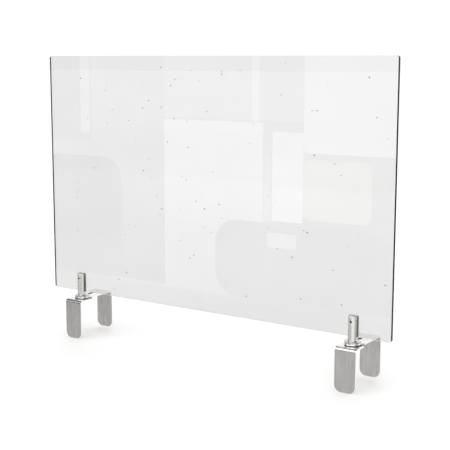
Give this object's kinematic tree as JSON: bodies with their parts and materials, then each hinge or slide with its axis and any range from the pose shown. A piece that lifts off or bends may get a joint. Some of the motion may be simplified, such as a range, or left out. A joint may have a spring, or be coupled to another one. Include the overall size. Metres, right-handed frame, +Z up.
{
  "type": "desk privacy panel",
  "caption": "Clear rectangular screen held along its lower edge by adjustable bracket clamps that straddle the top of a desk divider.",
  "frame": {"origin": "centre of the bounding box's base, level with the front leg tips, midway between the legs' outer faces and midway along the panel", "axes": "+X along the panel, +Y from the front face to the rear, +Z up"},
  "size_m": [0.7366, 0.0948, 0.5474],
  "materials": {
    "clear_acrylic": "clear, polished faces, faint grey tint at the edges",
    "brushed_steel": "brushed grain along the leg, bright rounded edges",
    "satin_aluminium": "turned and satin anodised",
    "dark_liner": "matt thin elastomer sheet",
    "dark_screw_steel": "black oxide",
    "plated_steel": "bright zinc plate",
    "nylon": "natural nylon"
  },
  "bodies": {
    "panel": {"clear_panel": "clear_acrylic"},
    "left_liner": {"left_slot_liner": "dark_liner"},
    "left_clamp": {"left_post": "satin_aluminium", "left_collar": "satin_aluminium", "left_guide_sleeve": "brushed_steel", "left_grip_shim": "dark_liner", "left_front_bracket": "brushed_steel"},
    "left_rear_jaw": {"left_rear_bracket": "brushed_steel"},
    "left_tip": {"left_pressure_tip": "nylon"},
    "left_screw": {"left_set_screw": "dark_screw_steel"},
    "left_washer": {"left_clamp_washer": "plated_steel"},
    "left_bolt": {"left_clamp_screw": "plated_steel"},
    "right_liner": {"right_slot_liner": "dark_liner"},
    "right_clamp": {"right_post": "satin_aluminium", "right_collar": "satin_aluminium", "right_guide_sleeve": "brushed_steel", "right_grip_shim": "dark_liner", "right_front_bracket": "brushed_steel"},
    "right_rear_jaw": {"right_rear_bracket": "brushed_steel"},
    "right_tip": {"right_pressure_tip": "nylon"},
    "right_screw": {"right_set_screw": "dark_screw_steel"},
    "right_washer": {"right_clamp_washer": "plated_steel"},
    "right_bolt": {"right_clamp_screw": "plated_steel"}
  },
  "joints": [
    {"name": "left_clamp_slide", "type": "slide", "parent": "panel", "child": "left_liner", "axis": [-1, 0, 0], "range_m": [-0.275, 0.061]},
    {"name": "left_pull_off", "type": "slide", "parent": "left_liner", "child": "left_clamp", "axis": [0, 0, -1], "range_m": [0, 0.037]},
    {"name": "left_jaw_slide", "type": "slide", "parent": "left_clamp", "child": "left_rear_jaw", "axis": [0, 1, 0], "range_m": [-0.029, 0.005]},
    {"name": "left_tip_slide", "type": "slide", "parent": "left_clamp", "child": "left_tip", "axis": [0, 1, 0], "range_m": [-0.0028, 0]},
    {"name": "left_set_screw_turn", "type": "hinge", "parent": "left_tip", "child": "left_screw", "pos_m": [-0.2986, -0.02965, 0.116], "axis": [0, 1, 0], "range_deg": [-1440, 0]},
    {"name": "left_washer_slide", "type": "slide", "parent": "left_clamp", "child": "left_washer", "axis": [0, 0, 1], "range_m": [-0.0016, 0]},
    {"name": "left_clamp_screw_turn", "type": "hinge", "parent": "left_washer", "child": "left_bolt", "pos_m": [-0.2986, -0.02165, 0.0716], "axis": [0, 0, 1], "range_deg": [-720, 0]},
    {"name": "right_clamp_slide", "type": "slide", "parent": "panel", "child": "right_liner", "axis": [1, 0, 0], "range_m": [-0.275, 0.061]},
    {"name": "right_pull_off", "type": "slide", "parent": "right_liner", "child": "right_clamp", "axis": [0, 0, -1], "range_m": [0, 0.037]},
    {"name": "right_jaw_slide", "type": "slide", "parent": "right_clamp", "child": "right_rear_jaw", "axis": [0, 1, 0], "range_m": [-0.029, 0.005]},
    {"name": "right_tip_slide", "type": "slide", "parent": "right_clamp", "child": "right_tip", "axis": [0, 1, 0], "range_m": [-0.0028, 0]},
    {"name": "right_set_screw_turn", "type": "hinge", "parent": "right_tip", "child": "right_screw", "pos_m": [0.2986, -0.02965, 0.116], "axis": [0, 1, 0], "range_deg": [-1440, 0]},
    {"name": "right_washer_slide", "type": "slide", "parent": "right_clamp", "child": "right_washer", "axis": [0, 0, 1], "range_m": [-0.0016, 0]},
    {"name": "right_clamp_screw_turn", "type": "hinge", "parent": "right_washer", "child": "right_bolt", "pos_m": [0.2986, -0.02165, 0.0716], "axis": [0, 0, 1], "range_deg": [-720, 0]}
  ],
  "couplings": [
    {"joint": "left_set_screw_turn", "follows": "left_tip_slide", "rad_per_m": 8976},
    {"joint": "left_clamp_screw_turn", "follows": "left_washer_slide", "rad_per_m": 7854},
    {"joint": "right_set_screw_turn", "follows": "right_tip_slide", "rad_per_m": 8976},
    {"joint": "right_clamp_screw_turn", "follows": "right_washer_slide", "rad_per_m": 7854}
  ]
}
